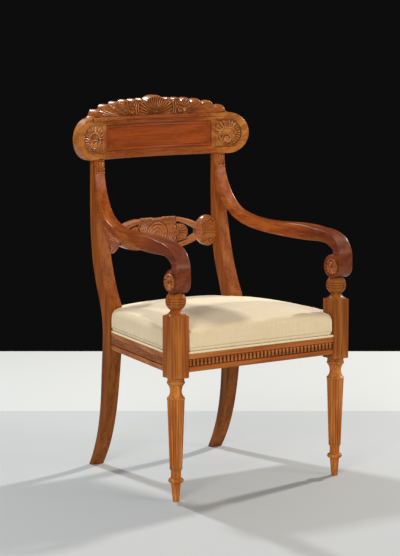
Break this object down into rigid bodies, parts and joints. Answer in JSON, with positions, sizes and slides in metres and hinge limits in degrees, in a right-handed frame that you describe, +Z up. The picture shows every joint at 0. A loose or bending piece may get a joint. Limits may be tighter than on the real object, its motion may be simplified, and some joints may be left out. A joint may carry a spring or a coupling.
{
  "type": "armchair",
  "caption": "Carved hardwood dining armchair with scrolled arms, reeded turned front legs, a pierced mid rail and an upholstered seat.",
  "frame": {"origin": "on the floor, below the middle of the chair's bounding box", "axes": "+Z up, -Y towards the front of the chair, +X towards the right arm as seen from in front"},
  "size_m": [0.5363, 0.522, 0.9536],
  "materials": {
    "frame_wood": "satin",
    "arm_wood": "gloss",
    "inner_wood": "matte",
    "seat_fabric": "matte",
    "webbing": "matte",
    "hessian": "matte",
    "stuffing": "matte",
    "dust_cloth": "matte",
    "screw_steel": "satin"
  },
  "bodies": {
    "root": {"arm_dowels": "inner_wood", "arm_left": "arm_wood", "arm_right": "arm_wood", "corner_block_screws": "screw_steel", "crest_rail": "frame_wood", "cresting": "frame_wood", "dust_cover": "dust_cloth", "front_corner_block_left": "inner_wood", "front_corner_block_right": "inner_wood", "front_leg_left": "frame_wood", "front_leg_right": "frame_wood", "front_rail_moulding": "frame_wood", "front_seat_rail": "frame_wood", "hessian": "hessian", "mid_rail": "frame_wood", "rear_corner_block_left": "inner_wood", "rear_corner_block_right": "inner_wood", "rear_post_left": "frame_wood", "rear_post_right": "frame_wood", "rear_seat_rail": "frame_wood", "seat_cover": "seat_fabric", "seat_piping": "seat_fabric", "seat_stuffing": "stuffing", "side_rail_moulding_left": "frame_wood", "side_rail_moulding_right": "frame_wood", "side_seat_rail_left": "frame_wood", "side_seat_rail_right": "frame_wood", "webbing_front_to_back": "webbing", "webbing_side_to_side": "webbing"}
  },
  "joints": []
}
